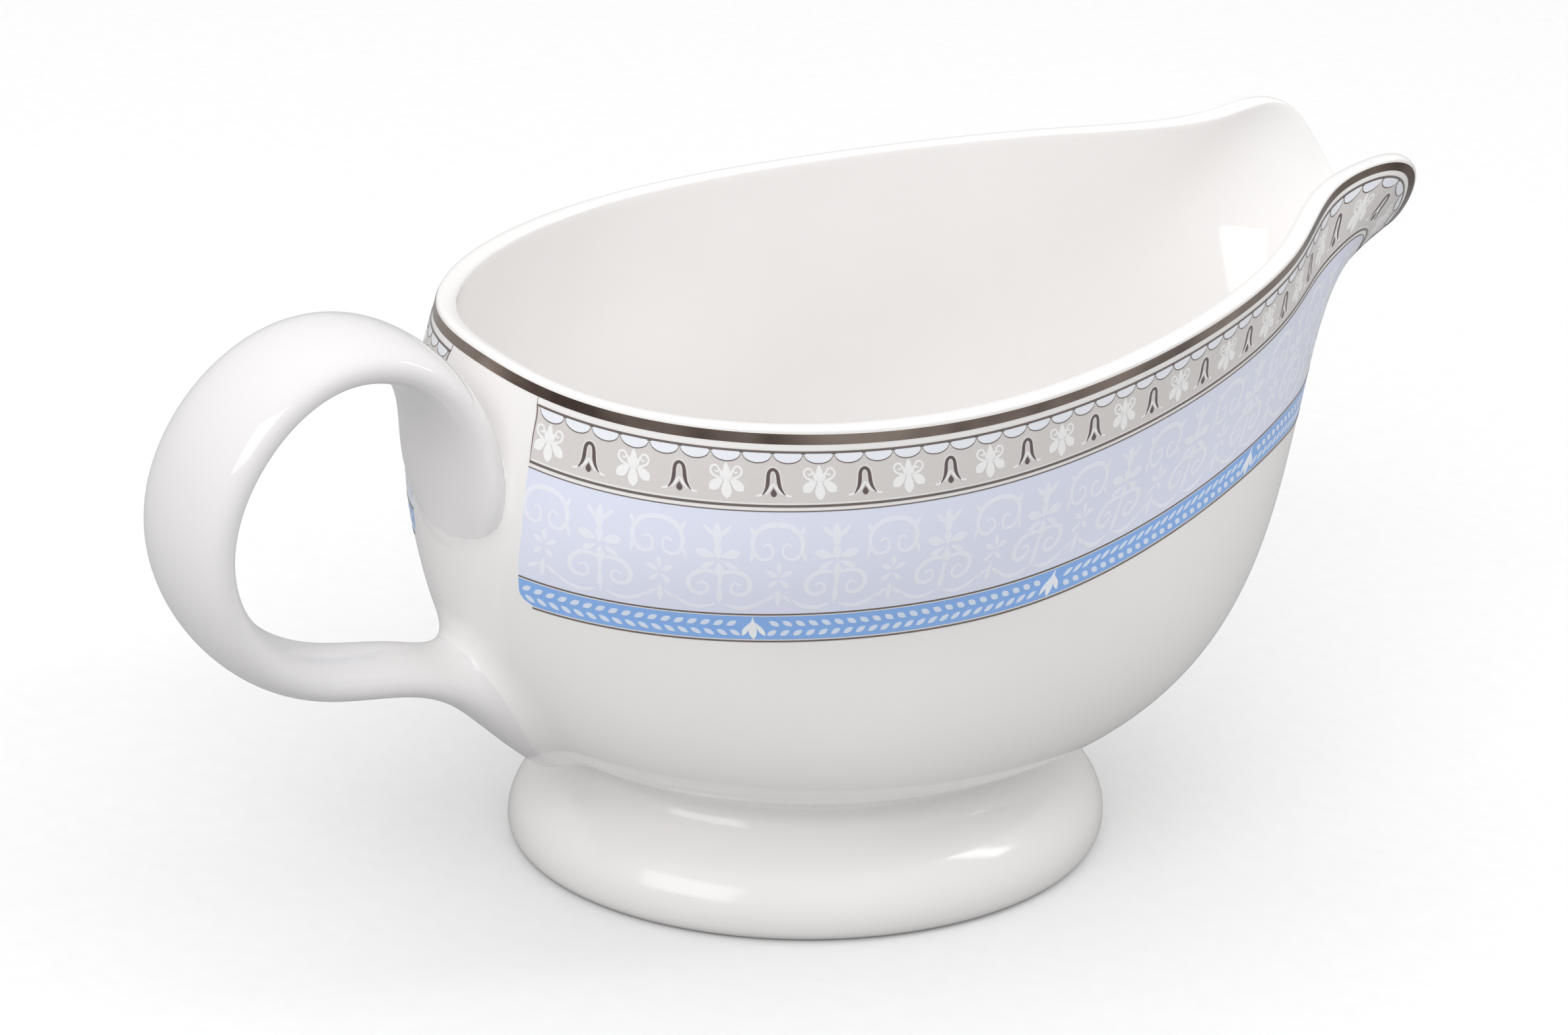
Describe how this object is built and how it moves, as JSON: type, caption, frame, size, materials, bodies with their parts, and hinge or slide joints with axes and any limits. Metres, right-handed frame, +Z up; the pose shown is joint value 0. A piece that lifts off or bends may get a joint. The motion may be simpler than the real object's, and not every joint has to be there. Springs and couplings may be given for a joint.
{
  "type": "gravy boat",
  "caption": "Footed porcelain gravy boat: oval pouring bowl with a raised spout, strap handle, platinum line under the lip and printed border transfers.",
  "frame": {"origin": "middle of the overall length and width, on the surface that the foot stands on", "axes": "+X towards the spout, -X towards the handle, +Z up; the plane y = 0 is the plane of symmetry"},
  "size_m": [0.2043, 0.0914, 0.1001],
  "materials": {
    "porcelain": "high-gloss clear glaze over white bone china",
    "platinum": "burnished platinum lustre",
    "grey_transfer": "warm grey in-glaze print with white and dark motifs, glossy",
    "pale_blue_transfer": "pale blue in-glaze print with a white damask, glossy",
    "blue_transfer": "mid-blue in-glaze print with white laurel leaves, glossy"
  },
  "bodies": {
    "root": {"bowl": "porcelain", "foot": "porcelain", "handle": "porcelain", "rim_line": "platinum", "frieze_transfer": "grey_transfer", "damask_transfer": "pale_blue_transfer", "laurel_transfer": "blue_transfer"}
  },
  "joints": []
}
